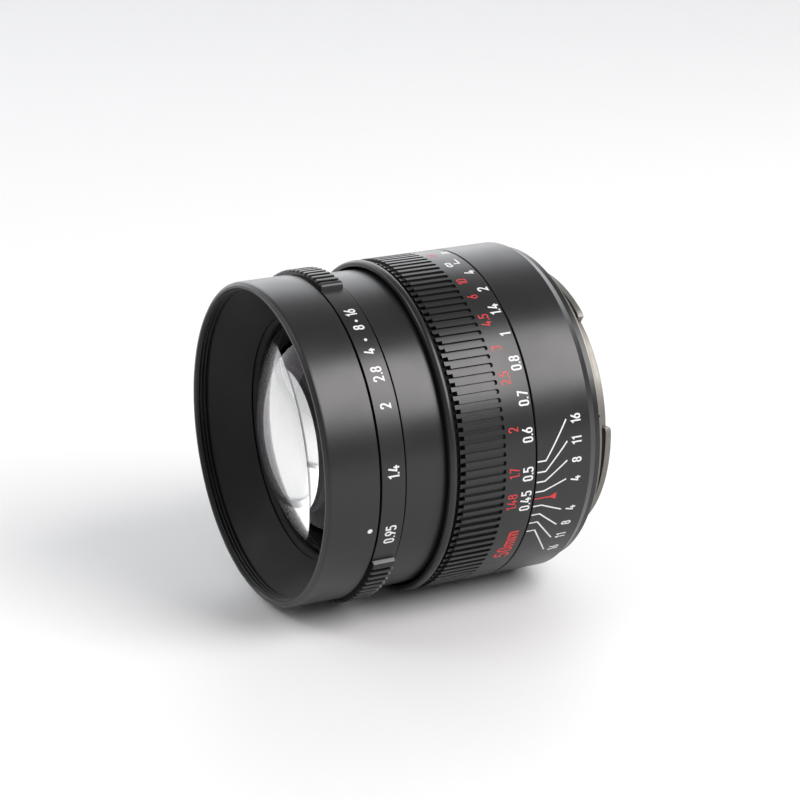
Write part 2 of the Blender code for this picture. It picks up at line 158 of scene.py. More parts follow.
def turned(name, profile, steps=ROUND_STEPS, closed=True):
    points = eased(profile) if closed else profile
    return ring_from_columns(name, [(360.0 * i / steps, points) for i in range(steps)], closed)


def pin(name, points, steps):
    """A closed pin between two rings of points."""
    faces = [list(range(steps)), list(range(steps, 2 * steps))]
    for i in range(steps):
        k = (i + 1) % steps
        faces.append((i, k, steps + k, steps + i))
    return new_object(name, points, faces)


def cylinder_along(name, radius, start, end, degrees, circle, steps=32):
    """A closed pin parallel to the axis, at an angle on a circle about it."""
    points = []
    turn = math.radians(degrees)
    middle = (circle * math.cos(turn), circle * math.sin(turn))
    for along in (start, end):
        for i in range(steps):
            bend = math.tau * i / steps
            x = (middle[0] + radius * math.cos(bend)) * MM
            z = (middle[1] + radius * math.sin(bend)) * MM
            points.append((x, FRONT_Y + along * MM, AXIS_HEIGHT + z))
    return pin(name, points, steps)


def radial_prism(name, radius, inner, outer, along, degrees, steps=32):
    """A closed pin that points out from the axis."""
    turn = math.radians(degrees)
    out = Vector((math.cos(turn), 0, math.sin(turn)))
    side = Vector((-math.sin(turn), 0, math.cos(turn)))
    back = Vector((0, 1, 0))
    foot = Vector((0, FRONT_Y + along * MM, AXIS_HEIGHT))
    points = []
    for reach in (inner, outer):
        for i in range(steps):
            bend = math.tau * i / steps
            offset = side * math.cos(bend) + back * math.sin(bend)
            points.append(tuple(foot + out * reach * MM + offset * radius * MM))
    return pin(name, points, steps)


def apply_modifiers(obj):
    bpy.context.view_layer.update()
    graph = bpy.context.evaluated_depsgraph_get()
    mesh = bpy.data.meshes.new_from_object(obj.evaluated_get(graph))
    obj.modifiers.clear()
    obj.data = mesh


def round_shading(mesh):
    """Takes small sideways tilts out of the normals, so that a turned surface shades as a true round."""
    count = len(mesh.loops)
    normals = np.empty(count * 3, np.float32)
    mesh.corner_normals.foreach_get("vector", normals)
    corner = np.empty(count, np.int32)
    mesh.loops.foreach_get("vertex_index", corner)
    points = np.empty(len(mesh.vertices) * 3, np.float32)
    mesh.vertices.foreach_get("co", points)
    normals = normals.reshape(-1, 3)
    points = points.reshape(-1, 3)[corner] - (0.0, 0.0, AXIS_HEIGHT)
    side = np.column_stack([-points[:, 2], np.zeros(count), points[:, 0]])
    side /= np.maximum(np.linalg.norm(side, axis=1, keepdims=True), TINY)
    tilt = np.sum(normals * side, axis=1, keepdims=True)
    normals = normals - np.where(np.abs(tilt) < TURNED_TILT, tilt, 0.0) * side
    normals /= np.maximum(np.linalg.norm(normals, axis=1, keepdims=True), TINY)
    mesh.normals_split_custom_set(normals.tolist())


def combined(obj, others, operation):
    """The object with others cut from it or joined to it, as one plain mesh."""
    for other in others:
        modifier = obj.modifiers.new(operation.title(), "BOOLEAN")
        modifier.operation = operation
        modifier.solver = "EXACT"
        modifier.object = other
    apply_modifiers(obj)
    obj.data.shade_smooth()
    obj.data.set_sharp_from_angle(angle=SMOOTH_ANGLE)
    for other in others:
        bpy.data.objects.remove(other, do_unlink=True)
    return obj


def finish_piece(obj, material, body, nodes=()):
    """Gives a piece its look and its body, and hides its CAD nodes. Normals follow its wide faces, so
    fillets stay narrow.
    """
    obj.data.transform(Matrix.Scale(1 / MM, 4))  # the modifier drops faces whose area is tiny
    obj.modifiers.new("even_shading", "WEIGHTED_NORMAL").keep_sharp = True
    apply_modifiers(obj)
    obj.data.transform(Matrix.Scale(MM, 4))
    round_shading(obj.data)
    obj.data.materials.clear()
    obj.data.materials.append(material)
    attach(obj, body)
    if nodes:
        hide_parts(*nodes)
    return obj


# ---------------------------------------------------------------- materials


NOISE_LOW, NOISE_HIGH = 0.3, 0.7  # the part of a noise's range that is spread out


class Shader:
    """A Principled material with short calls for the nodes that feed it."""

    def __init__(self, name, colour, roughness, metallic=0.0, **sockets):
        self.material = bpy.data.materials.new(name)
        self.material.use_nodes = True
        self.tree = self.material.node_tree
        self.bsdf = self.tree.nodes["Principled BSDF"]
        self.set(self.bsdf, "Base Color", (*colour, 1.0))
        self.set(self.bsdf, "Roughness", roughness)
        self.set(self.bsdf, "Metallic", metallic)
        for socket, value in sockets.items():
            self.set(self.bsdf, socket.replace("_", " "), value)
        self.coordinates = self.node("ShaderNodeTexCoord").outputs["Object"]

    def set(self, node, socket, value):
        node.inputs[socket].default_value = value

    def node(self, kind, **inputs):
        node = self.tree.nodes.new(kind)
        for name, value in inputs.items():
            socket = node.inputs[name.replace("_", " ")]
            if isinstance(value, bpy.types.NodeSocket):
                self.tree.links.new(value, socket)
            else:
                socket.default_value = value
        return node

    def stretched(self, x, y, z):
        """Object coordinates scaled by axis; the axis of the lens is put at the origin first."""
        mapping = self.node("ShaderNodeMapping", Vector=self.coordinates)
        self.set(mapping, "Location", (0, 0, -AXIS_HEIGHT * z))
        self.set(mapping, "Scale", (x, y, z))
        return mapping.outputs["Vector"]

    def noise(self, vector, scale, detail=3.0):
        node = self.node("ShaderNodeTexNoise", Vector=vector, Scale=scale, Detail=detail)
        return node.outputs["Fac"]

    def spread(self, value, low, high):
        node = self.node("ShaderNodeMapRange", Value=value)
        self.set(node, "From Min", NOISE_LOW)
        self.set(node, "From Max", NOISE_HIGH)
        self.set(node, "To Min", low)
        self.set(node, "To Max", high)
        return node.outputs["Result"]

    def rough(self, value, low, high):
        self.tree.links.new(self.spread(value, low, high), self.bsdf.inputs["Roughness"])

    def tint(self, value, dark, light):
        mix = self.tree.nodes.new("ShaderNodeMix")
        mix.data_type = "RGBA"
        factor, colour_a, colour_b, colour_result = 0, 6, 7, 2  # sockets of the node's colour mode
        self.tree.links.new(self.spread(value, 0.0, 1.0), mix.inputs[factor])
        mix.inputs[colour_a].default_value = (*dark, 1.0)
        mix.inputs[colour_b].default_value = (*light, 1.0)
        self.tree.links.new(mix.outputs[colour_result], self.bsdf.inputs["Base Color"])

    def bumps(self, *heights):
        """Bump from (value, depth in millimetres) pairs, one after the other."""
        normal = None
        for value, depth in heights:
            bump = self.node("ShaderNodeBump", Height=value, Strength=1.0, Distance=depth * MM)
            if normal:
                self.tree.links.new(normal, bump.inputs["Normal"])
            normal = bump.outputs["Normal"]
        self.tree.links.new(normal, self.bsdf.inputs["Normal"])


def anodised(name, colour=(0.0095, 0.0095, 0.0103), low=0.28, high=0.36, level=0.5):
    """Black anodising over fine blasting, with faint rings left by the lathe."""
    shader = Shader(name, colour, 0.4, **{"Specular_IOR_Level": level})
    grain = shader.noise(shader.coordinates, 9000.0)
    rings = shader.noise(shader.stretched(0.0, 1.0, 0.0), 5200.0, 2.0)
    clouds = shader.noise(shader.coordinates, 70.0)
    shader.rough(clouds, low, high)
    shader.tint(grain, [c * 0.75 for c in colour], [c * 1.35 for c in colour])
    shader.bumps((rings, 0.0009), (grain, 0.0016))
    return shader.material


def matt_black(name, colour=(0.016, 0.016, 0.017), roughness=(0.62, 0.78), level=0.35):
    """Flat black paint with a fine tooth."""
    shader = Shader(name, colour, 0.7, **{"Specular_IOR_Level": level})
    tooth = shader.noise(shader.coordinates, 7000.0)
    shader.rough(shader.noise(shader.coordinates, 60.0), *roughness)
    shader.tint(tooth, [c * 0.7 for c in colour], [c * 1.3 for c in colour])
    shader.bumps((tooth, 0.003))
    return shader.material


def chrome(name):
    """Satin chrome on turned brass: rings from the lathe and small rubs."""
    shader = Shader(name, (0.215, 0.205, 0.19), 0.5, 1.0)
    rings = shader.noise(shader.stretched(0.0, 1.0, 0.0), 6500.0, 2.0)
    rubs = shader.noise(shader.coordinates, 420.0, 5.0)
    shader.rough(rubs, 0.42, 0.56)
    shader.tint(rubs, (0.2, 0.19, 0.175), (0.235, 0.225, 0.208))
    shader.bumps((rings, 0.0012))
    return shader.material


def machined(name, dark, light, low=0.25, high=0.42):
    """Bare metal from the lathe, cloudy in colour."""
    shader = Shader(name, light, 0.3, 1.0)
    marks = shader.noise(shader.coordinates, 900.0, 4.0)
    shader.rough(marks, low, high)
    shader.tint(marks, dark, light)
    shader.bumps((shader.noise(shader.stretched(0.0, 1.0, 0.0), 6000.0), 0.0012))
    return shader.material


def paint(name, colour):
    """Paint filled into an engraved mark, a little uneven."""
    shader = Shader(name, colour, 0.5)
    uneven = shader.noise(shader.coordinates, 2600.0)
    shader.tint(uneven, [c * 0.9 for c in colour], colour)
    shader.rough(uneven, 0.42, 0.6)
    shader.bumps((uneven, 0.002))
    return shader.material


def glass(name, ior, tint, coating):
    """Optical glass. The coating is the tint of its reflections."""
    shader = Shader(name, tint, 0.0, **{"IOR": ior, "Transmission_Weight": 1.0})
    shader.set(shader.bsdf, "Specular Tint", (*coating, 1.0))
    return shader.material


# ---------------------------------------------------------------- figures and lines

LOW, HIGH, WIDE, ROUND = 0.07, 0.93, 0.34, 0.17

# Each figure is a few strokes in units of its height: (x, y) or (x, y, corner radius). "loop" closes.
GLYPHS = {
    "0": [("loop", (0, LOW, ROUND), (WIDE, LOW, ROUND), (WIDE, HIGH, ROUND), (0, HIGH, ROUND))],
    "1": [("line", (0.02, 0.76), (0.2, HIGH), (0.2, 0.0))],
    "2": [
        (
            "line",
            (0, 0.7),
            (0, HIGH, ROUND),
            (WIDE, HIGH, ROUND),
            (WIDE, 0.6, 0.2),
            (0.02, LOW),
            (WIDE + 0.05, LOW),
        )
    ],
    "3": [
        ("line", (0, 0.78), (0, HIGH, ROUND), (WIDE, HIGH, ROUND), (WIDE, 0.53, 0.16), (0.14, 0.53)),
        ("line", (0.14, 0.53), (WIDE, 0.53, 0.17), (WIDE, LOW, ROUND), (0, LOW, ROUND), (0, 0.22)),
    ],
    "4": [("line", (0.19, 1.0), (0.0, 0.27), (0.46, 0.27)), ("line", (0.29, 0.52), (0.29, 0.0))],
    "5": [
        (
            "line",
            (0.38, HIGH),
            (0.04, HIGH),
            (0.02, 0.56),
            (WIDE, 0.59, ROUND),
            (WIDE, LOW, ROUND),
            (0, LOW, ROUND),
            (0, 0.22),
        )
    ],
    "6": [
        ("loop", (0, LOW, ROUND), (WIDE, LOW, ROUND), (WIDE, 0.57, ROUND), (0, 0.57, ROUND)),
        ("line", (0.29, 1.0), (0.0, 0.4)),
    ],
    "7": [("line", (0, HIGH), (WIDE + 0.03, HIGH), (0.12, 0.0))],
    "8": [
        ("loop", (0, LOW, ROUND), (WIDE, LOW, ROUND), (WIDE, 0.52, ROUND), (0, 0.52, ROUND)),
        ("loop", (0.03, 0.52, 0.15), (0.34, 0.52, 0.15), (0.34, HIGH, 0.15), (0.03, HIGH, 0.15)),
    ],
    "9": [
        ("loop", (0, 0.43, ROUND), (WIDE, 0.43, ROUND), (WIDE, HIGH, ROUND), (0, HIGH, ROUND)),
        ("line", (0.08, 0.0), (WIDE, 0.6)),
    ],
    ".": [("line", (0, 0), (0, 0.14))],
    "m": [
        ("line", (0, 0), (0, 0.66)),
        ("line", (0, 0.4), (0, 0.6, 0.12), (0.26, 0.6, 0.12), (0.26, 0)),
        ("line", (0.26, 0.4), (0.26, 0.6, 0.12), (0.52, 0.6, 0.12), (0.52, 0)),
    ],
    "f": [("line", (0.1, 0), (0.1, HIGH, 0.14), (0.32, HIGH)), ("line", (0, 0.6), (0.28, 0.6))],
    "t": [("line", (0.1, 0.9), (0.1, LOW, 0.14), (0.3, LOW)), ("line", (0, 0.6), (0.28, 0.6))],
    "∞": [
        ("loop", (0, 0.24, 0.2), (0.42, 0.24, 0.2), (0.42, 0.76, 0.2), (0, 0.76, 0.2)),
        ("loop", (0.42, 0.24, 0.2), (0.84, 0.24, 0.2), (0.84, 0.76, 0.2), (0.42, 0.76, 0.2)),
    ],
}
LETTER_GAP = 0.075
MARK_PROUD = 0.012
MARK_DEEP = 0.06
MITRE_LIMIT = 0.45
WEDGE_TIP = 0.06


class Marks:
    """Flat marks wrapped on a cylinder about the lens axis, gathered into one piece."""

    def __init__(self, name, radius):
        self.name, self.radius = name, radius
        self.points, self.faces = [], []

    def ribbon(self, path, widths, closed, degrees, along):
        """A strip along (x, y) points, x round the ring in the sense of rising angle, y to the front."""
        count = len(path)
        sides = ([], [])
        for i, point in enumerate(path):
            before = path[i - 1] if closed or i else point
            after = path[(i + 1) % count] if closed or i < count - 1 else point
            first = (point - before).normalized() if (point - before).length else None
            second = (after - point).normalized() if (after - point).length else None
            first, second = first or second, second or first
            across = Vector((-(first.y + second.y), first.x + second.x)).normalized()
            stretch = 1 / max(MITRE_LIMIT, across.dot(Vector((-first.y, first.x))))
            half = widths[i] / 2 * stretch
            sides[0].append(point + across * half)
            sides[1].append(point - across * half)
        base = len(self.points)
        for lift in (MARK_PROUD, -MARK_DEEP):
            for side in sides:
                for point in side:
                    turn = degrees + math.degrees(point.x / self.radius)
                    self.points.append(at(self.radius + lift, turn, along - point.y))
        a, b, c, d = (base + count * k for k in range(4))
        for i in range(count if closed else count - 1):
            k = (i + 1) % count
            self.faces += [
                (a + i, a + k, b + k, b + i),
                (c + i, d + i, d + k, c + k),
                (a + i, c + i, c + k, a + k),
                (b + i, b + k, d + k, d + i),
            ]
        if not closed:
            for i in (0, count - 1):
                self.faces.append((a + i, b + i, d + i, c + i))

    def stroke(self, kind, corners, width, degrees, along):
        closed = kind == "loop"
        path = []
        count = len(corners)
        for i, corner in enumerate(corners):
            here = Vector(corner[:2])
            fillet = corner[2] if len(corner) > 2 else 0.0
            if not closed and i in (0, count - 1):
                fillet = 0.0
            before = Vector(corners[i - 1][:2])
            after = Vector(corners[(i + 1) % count][:2])
            path += [Vector(p) for p in rounded_corner(before, here, after, fillet, 5)]
        self.ribbon(path, [width] * len(path), closed, degrees, along)

    def text(self, text, degrees, along, height, weight=0.15):
        """Figures centred at a place, read in the sense of rising angle, with their tops to the front."""
        widths = []
        for letter in text:
            reach = max(corner[0] for stroke in GLYPHS[letter] for corner in stroke[1:])
            widths.append(reach + weight)
        total = sum(widths) + LETTER_GAP * (len(text) - 1)
        x = -total / 2 + weight / 2
        for letter, width in zip(text, widths):
            for kind, *corners in GLYPHS[letter]:
                placed = []
                for right, up, *fillet in corners:
                    places = (x + right, up - 0.5, *fillet)
                    placed.append([place * height for place in places])
                self.stroke(kind, placed, weight * height, degrees, along)
            x += width + LETTER_GAP

    def line(self, places, width, steps=6):
        """A bent line through (along, degrees) places, its corners kept sharp."""
        corners = [Vector((math.radians(degrees) * self.radius, -along)) for along, degrees in places]
        path = []
        for start, end in zip(corners, corners[1:]):
            path += [start.lerp(end, i / steps) for i in range(steps)]
        path.append(corners[-1])
        self.ribbon(path, [width] * len(path), False, 0.0, 0.0)

    def wedge(self, degrees, start, end, width):
        """A pointer that widens towards its end."""
        path = [Vector((0.0, -start)), Vector((0.0, -end))]
        self.ribbon(path, [WEDGE_TIP, width], False, degrees, 0.0)

    def dot(self, degrees, along, radius, steps=24):
        base = len(self.points)
        for lift in (MARK_PROUD, -MARK_DEEP):
            for i in range(steps):
                bend = math.tau * i / steps
                turn = degrees + math.degrees(radius * math.cos(bend) / self.radius)
                self.points.append(at(self.radius + lift, turn, along + radius * math.sin(bend)))
        self.faces.append(tuple(range(base, base + steps)))
        self.faces.append(tuple(range(base + steps, base + 2 * steps)))
        for i in range(steps):
            k = (i + 1) % steps
            self.faces.append((base + i, base + k, base + steps + k, base + steps + i))

    def build(self, material, body):
        obj = new_object(self.name, self.points, self.faces, weld=False)
        return finish_piece(obj, material, body)


# ---------------------------------------------------------------- front of the lens

THREAD_PITCH, THREAD_DEPTH = 0.75, 0.32
THREAD_START, THREAD_END = 0.42, 2.75
THREAD_SAMPLES = 34
THREAD_FADE = 0.3
BARREL_END = 10.95
RIM_FACE_END = 0.3


def thread_radius(along, degrees):
    """The inside of the filter thread: a V that climbs one pitch a turn and fades at both ends."""
    phase = (along / THREAD_PITCH - degrees / 360.0) % 1.0
    ridge = 1.0 - abs(2.0 * phase - 1.0)
    fade = min(1.0, (along - THREAD_START) / THREAD_FADE, (THREAD_END - along) / THREAD_FADE)
    return FILTER_RADIUS + 0.1 - THREAD_DEPTH * max(0.0, fade) * min(1.0, 1.35 * ridge)


def front_barrel():
    cone_start, cone_end, cone_rear = 2.95, 10.1, 24.7
    shell = eased(
        [
            (0.0, FRONT_RADIUS - 0.75, 0.1),
            (0.5, FRONT_RADIUS - 0.1, 0.4),
            (1.1, FRONT_RADIUS),
            (BARREL_END, FRONT_RADIUS, 0.12),
            (BARREL_END, 30.3, 0.1),
            (9.6, 30.3),
            (cone_end, cone_rear + 1.3),
            (cone_end, cone_rear, 0.06),
            (cone_start, FILTER_RADIUS - 0.25, 0.05),
            (THREAD_END, FILTER_RADIUS + 0.1),
            (THREAD_START, FILTER_RADIUS + 0.1),
            (0.0, FILTER_RADIUS + 0.3, 0.05),
        ]
    )
    split = next(i for i, (along, _) in enumerate(shell) if abs(along - THREAD_END) < 1e-4)
    columns = []
    for i in range(ROUND_STEPS):
        degrees = 360.0 * i / ROUND_STEPS
        thread = []
        for step in range(1, THREAD_SAMPLES):
            along = THREAD_END + (THREAD_START - THREAD_END) * step / THREAD_SAMPLES
            thread.append((along, thread_radius(along, degrees)))
        columns.append((degrees, shell[: split + 1] + thread + shell[split + 1 :]))
    obj = ring_from_columns("front_barrel_shell", columns)
    finish_piece(obj, looks["body"], "optics", ["front_barrel"])
    obj.data.materials.append(looks["cone"])
    obj.data.materials.append(looks["edge"])
    for face in obj.data.polygons:
        along = (face.center.y - FRONT_Y) / MM
        radius = math.hypot(face.center.x, face.center.z - AXIS_HEIGHT) / MM
        if radius < FILTER_RADIUS + 0.2 and along > RIM_FACE_END:
            face.material_index = 1
        # Painted light: the front face takes a lighter copy of the anodised black, standing in for the
        # light the face catches.
        elif along < RIM_FACE_END:
            face.material_index = 2


def front_cell_pieces():
    ring = turned(
        "front_retaining_ring_visual",
        [
            (10.45, 24.9, 0.05),
            (10.45, 25.9),
            (12.5, 25.9),
            (12.0, 24.2, 0.05),
            (11.25, 24.25, 0.1),
            (10.9, 24.55, 0.1),
        ],
    )
    finish_piece(ring, looks["matt"], "optics", ["front_retaining_ring"])
    cell = turned(
        "front_cell_visual",
        [
            (8.6, 29.9),
            (12.4, 29.9),
            (12.4, 27.8),
            (16.6, 27.8),
            (16.6, 23.0),
            (27.2, 23.0),
            (27.2, 21.2),
            (28.6, 21.2),
            (28.6, 20.3),
            (21.8, 20.3),
            (21.8, 21.3),
            (15.5, 21.3),
            (15.5, 25.5),
            (12.7, 25.5),
            (12.7, 26.3),
            (10.5, 26.3),
            (10.5, 28.3),
            (8.6, 28.3),
        ],
        128,
    )
    finish_piece(cell, looks["matt"], "optics", ["front_cell"])
    spacer = turned("front_spacer_visual", [(15.7, 20.1), (15.7, 21.0), (19.4, 21.0), (19.1, 20.1)], 128)
    finish_piece(spacer, looks["matt"], "optics", ["front_spacer"])


# Each element: node, front face and rear face as (apex, curvature radius, clear radius, sense) or a
# flat place, edge radius, glass. Sense +1 is a face whose edge lies behind its apex.
ELEMENTS = [
    ("element_1_front", (3.6, 38.0, 25.2, 1), (12.8, 110.0, 23.0, 1), 25.2, "glass_front"),
    ("element_2", (13.5, 36.0, 21.0, 1), 21.5, 21.0, "glass_inner"),
    ("element_3", 21.6, (22.9, 24.0, 15.0, 1), 20.0, "glass_inner"),
    ("element_4", (37.4, 26.0, 13.5, -1), 38.5, 16.5, "glass_inner"),
    ("element_5", 38.6, (45.3, 28.0, 16.5, -1), 16.5, "glass_inner"),
    ("element_6", (45.9, 70.0, 17.5, 1), (51.3, 70.0, 17.5, -1), 17.5, "glass_inner"),
    ("element_7_rear", (51.8, 40.0, 17.5, 1), 56.4, 17.5, "glass_rear"),
]
ELEMENT_STEPS = 160
EDGE_BAND = 0.02


def glass_face(spec, radius, steps=40):
    if not isinstance(spec, tuple):
        return [(spec, 0.0), (spec, radius)]
    apex, curvature, clear, sense = spec
    points = []
    for i in range(steps + 1):
        reach = clear * i / steps
        points.append((apex + sense * (curvature - math.sqrt(curvature**2 - reach**2)), reach))
    return points if clear == radius else points + [(points[-1][0], radius)]


def glass_elements():
    for node, front, rear, radius, look in ELEMENTS:
        profile = glass_face(front, radius) + glass_face(rear, radius)[::-1]
        obj = turned(node + "_visual", profile, ELEMENT_STEPS, closed=False)
        obj.data.materials.append(looks[look])
        obj.data.materials.append(looks["ground_edge"])
        for face in obj.data.polygons:
            reach = math.hypot(face.center.x, face.center.z - AXIS_HEIGHT) / MM
            if reach > radius - EDGE_BAND:
                face.material_index = 1
        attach(obj, "optics")
        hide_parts(node)


# ---------------------------------------------------------------- aperture ring and sleeve

PAD_STARTS = (79.0, 259.0)
PAD_SPAN = 70.0
PAD_RAMP = 1.9
PAD_SLOT_PITCH = 3.2
PAD_SLOTS = 21
PAD_SLOT_HALF = 0.48
PAD_SLOT_WALL = 0.07
PAD_SLOT_DEPTH = 0.55
PAD_RAMP_STEPS = 6


def pad_lift(degrees):
    """How far the ring stands out at an angle, from 0 on the plain band to 1 on a pad."""
    for start in PAD_STARTS:
        into = (degrees - start) % 360.0
        if into < PAD_SPAN:
            ramp = min(1.0, min(into, PAD_SPAN - into) / PAD_RAMP)
            return math.sqrt(ramp * (2.0 - ramp))
    return 0.0


def pad_column(lift, depth):
    """The ring's section where a pad stands out by lift (0 to 1) and a slot is cut to depth (0 to 1)."""
    first, last = 11.4, 16.5
    plain = APERTURE_RING_RADIUS
    top = plain + (APERTURE_GRIP_RADIUS - plain) * lift
    floor = max(plain - 0.02, top - depth * PAD_SLOT_DEPTH)
    rise = top - plain
    return [
        (first, 28.6),
        (first, plain - 0.32),
        (first + 0.05, plain - 0.1),
        (first + 0.11, plain),
        (first + 0.14, plain),
        (first + 0.17, min(floor, plain + 0.7 * rise)),
        (first + 0.22, min(floor, plain + 0.87 * rise)),
        (first + 0.32, min(floor, plain + 0.96 * rise)),
        (first + 0.48, floor),
        (last - 0.5, floor),
        (last - 0.34, floor),
        (last - 0.26, min(floor, top - 0.06 * lift)),
        (last - 0.2, plain),
        (last - 0.08, plain - 0.02),
        (last, plain - 0.16),
        (last, 28.6),
    ]


def aperture_ring():
    half = math.degrees(PAD_SLOT_HALF / APERTURE_GRIP_RADIUS)
    wall = math.degrees(PAD_SLOT_WALL / APERTURE_GRIP_RADIUS)
    cuts = {360.0 * i / ROUND_STEPS: 0.0 for i in range(ROUND_STEPS)}
    for start in PAD_STARTS:
        for end in (start, start + PAD_SPAN):
            inward = 1 if end == start else -1
            for i in range(PAD_RAMP_STEPS + 1):
                cuts[end + inward * PAD_RAMP * i / PAD_RAMP_STEPS] = 0.0
        for number in range(PAD_SLOTS):
            middle = start + PAD_SPAN / 2 + PAD_SLOT_PITCH * (number - (PAD_SLOTS - 1) / 2)
            cuts = {a: depth for a, depth in cuts.items() if abs(a - middle) > half + 2 * wall}
            for offset, depth in ((half + wall, 0.0), (half, 0.1), (half - wall, 1.0)):
                cuts[middle - offset] = cuts[middle + offset] = depth
            cuts[middle] = 1.0
    columns = [(angle, pad_column(pad_lift(angle), cuts[angle])) for angle in sorted(cuts)]
    obj = ring_from_columns("aperture_ring_visual", columns)
    finish_piece(obj, looks["body"], "aperture", ["aperture_ring"])


def focusing_sleeve():
    obj = turned(
        "focusing_sleeve_visual",
        [
            (16.9, SLEEVE_RADIUS, 0.12),
            (34.7, SLEEVE_RADIUS, 0.12),
            (34.7, 28.9),
            (49.3, 28.9, 0.1),
            (49.3, 26.5, 0.1),
            (33.4, 26.5),
            (33.4, 30.3),
            (18.4, 30.3),
            (18.4, 23.4),
            (16.9, 23.4),
        ],
    )
    finish_piece(obj, looks["body"], "optics", ["focusing_sleeve"])


# ---------------------------------------------------------------- focus ring

RIB_COUNT = 120
RIB_PHASE = 1.72
SLOT_HALF = 0.49
SLOT_DEPTH = 0.5
SLOT_CORNER = 0.42
SLOT_END = 37.57
SLOT_WALL = 0.05
GROOVE_RADIUS = 32.6
GROOVE_START = 27.0
RIB_START, LAND_START = 27.8, 28.68  # the lands between the slots stand back from the groove
SET_SCREW_ANGLES = (120.0, 180.0, 240.0)
SET_SCREW_ALONG = 43.0


def focus_column(offset):
    """The ring's section at a distance in millimetres round the ring from the middle of a slot."""
    depth = SLOT_DEPTH * min(1.0, max(0.0, (SLOT_HALF - abs(offset)) / SLOT_WALL))
    into_corner = max(0.0, abs(offset) - (SLOT_HALF - SLOT_CORNER))
    end = SLOT_END - SLOT_CORNER + math.sqrt(max(0.0, SLOT_CORNER**2 - into_corner**2))
    floor = GRIP_RADIUS - depth
    land = depth < 0.5 * SLOT_DEPTH
    shelf = GROOVE_RADIUS if land else floor
    return [
        (25.5, 32.45),
        (25.5, 33.0),
        (25.62, 33.28),
        (25.9, 33.5),
        (26.3, 33.6),
        (26.7, 33.58),
        (26.9, 33.45),
        (GROOVE_START, 33.25),
        (GROOVE_START + 0.02, GROOVE_RADIUS),
        (RIB_START, GROOVE_RADIUS),
        (RIB_START + 0.02, shelf - (0.0 if land else 0.05)),
        (RIB_START + 0.08, shelf),
        (LAND_START, shelf),
        (LAND_START + 0.02, floor),
        (32.0, floor),
        (end - 0.08, floor),
        (end - 0.02, floor + depth * 0.85),
        (end + 0.05, GRIP_RADIUS),
        (SLOT_END + 0.5, GRIP_RADIUS),
        (40.0, GRIP_RADIUS),
        (43.9, GRIP_RADIUS),
        (44.04, GRIP_RADIUS - 0.05),
        (44.1, GRIP_RADIUS - 0.2),
        (44.1, 32.2),
        (26.5, 32.2),
    ]


def focus_ring():
    pitch = 360.0 / RIB_COUNT
    half = [SLOT_HALF, SLOT_HALF - SLOT_WALL, 0.36, 0.26, 0.14]
    land = math.radians(pitch) * GRIP_RADIUS / 2
    beside = SLOT_HALF + 0.03
    offsets = [-o for o in half] + [0.0] + half[::-1] + [beside, land, 2 * land - beside]
    columns = []
    for number in range(RIB_COUNT):
        middle = RIB_PHASE + pitch * number
        for offset in offsets:
            columns.append((middle + math.degrees(offset / GRIP_RADIUS), focus_column(offset)))
    obj = ring_from_columns("focus_ring_visual", columns)
    holes = [radial_prism("hole", 0.95, 31.5, 35.0, SET_SCREW_ALONG, a) for a in SET_SCREW_ANGLES]
    combined(obj, holes, "DIFFERENCE")
    finish_piece(obj, looks["body"], "focus", ["focus_ring"])
    # Painted shade: the floors of the groove and of the lands' cut-back ends take a near-black with little
    # reflection, standing in for the shade that falls in them.
    obj.data.materials.append(looks["groove"])
    for face in obj.data.polygons:
        along = (face.center.y - FRONT_Y) / MM
        reach = math.hypot(face.center.x, face.center.z - AXIS_HEIGHT) / MM
        if GROOVE_START < along < LAND_START and reach < GROOVE_RADIUS + 0.01:
            face.material_index = 1
    for number, angle in enumerate(SET_SCREW_ANGLES, 1):
        name = f"focus_set_screw_{number}"
        screw = radial_prism(name + "_visual", 0.88, 32.25, 33.2, SET_SCREW_ALONG, angle)
        combined(screw, [radial_prism("hex", 0.5, 32.75, 34.0, SET_SCREW_ALONG, angle, 6)], "DIFFERENCE")
        finish_piece(screw, looks["steel"], "focus", [name])


# ---------------------------------------------------------------- rear of the lens


def rear_barrel():
    obj = turned(
        "rear_barrel_visual",
        [
            (44.4, GRIP_RADIUS, 0.14),
            (56.45, GRIP_RADIUS, 0.05),
            (58.0, 32.73, 0.04),
            (58.12, 32.5, 0.03),
            (59.3, 32.45, 0.1),
            (59.3, 25.2),
            (57.5, 25.2),
            (57.5, 31.2),
            (50.9, 31.2),
            (50.9, 32.9),
            (46.3, 32.9),
            (46.3, 32.25),
            (44.4, 32.25),
        ],
    )
    finish_piece(obj, looks["body"], "barrel", ["rear_barrel"])


LUG_COUNT, LUG_FIRST = 3, -31.0
LUG_HALF, LUG_LEAD = 35.0, 1.6
NOTCH_ANGLE, DIMPLE_ANGLE, LOCK_ANGLE = 12.9, 11.3, 180.0
SCREW_HEAD_TOP = 60.42
CROSS_ARM = (1.5, 0.7, 0.3)  # length, depth and width of an arm of the screws' cross
CROSS_TURN = 0.35


def lug(number):
    """One lug of the bayonet, its ends eased so that it leads in."""
    middle = LUG_FIRST + 360.0 / LUG_COUNT * number
    steps = 40
    columns = []
    for i in range(steps + 1):
        offset = -LUG_HALF + 2 * LUG_HALF * i / steps
        lead = min(1.0, (LUG_HALF - abs(offset)) / LUG_LEAD)
        outer = LUG_RADIUS - 0.28 * (1 - lead)
        section = [(63.6, 25.0), (63.6, outer, 0.08), (64.9, outer, 0.14), (64.9, 25.0)]
        columns.append((middle + offset, eased(section, 3)))
    count = len(columns[0][1])
    points = [at(radius, degrees, along) for degrees, column in columns for along, radius in column]
    faces = [tuple(range(count)), tuple(range(steps * count, (steps + 1) * count))]
    for i in range(steps):
        for j in range(count):
            k = (j + 1) % count
            faces.append((i * count + j, i * count + k, (i + 1) * count + k, (i + 1) * count + j))
    return new_object("lug", points, faces)


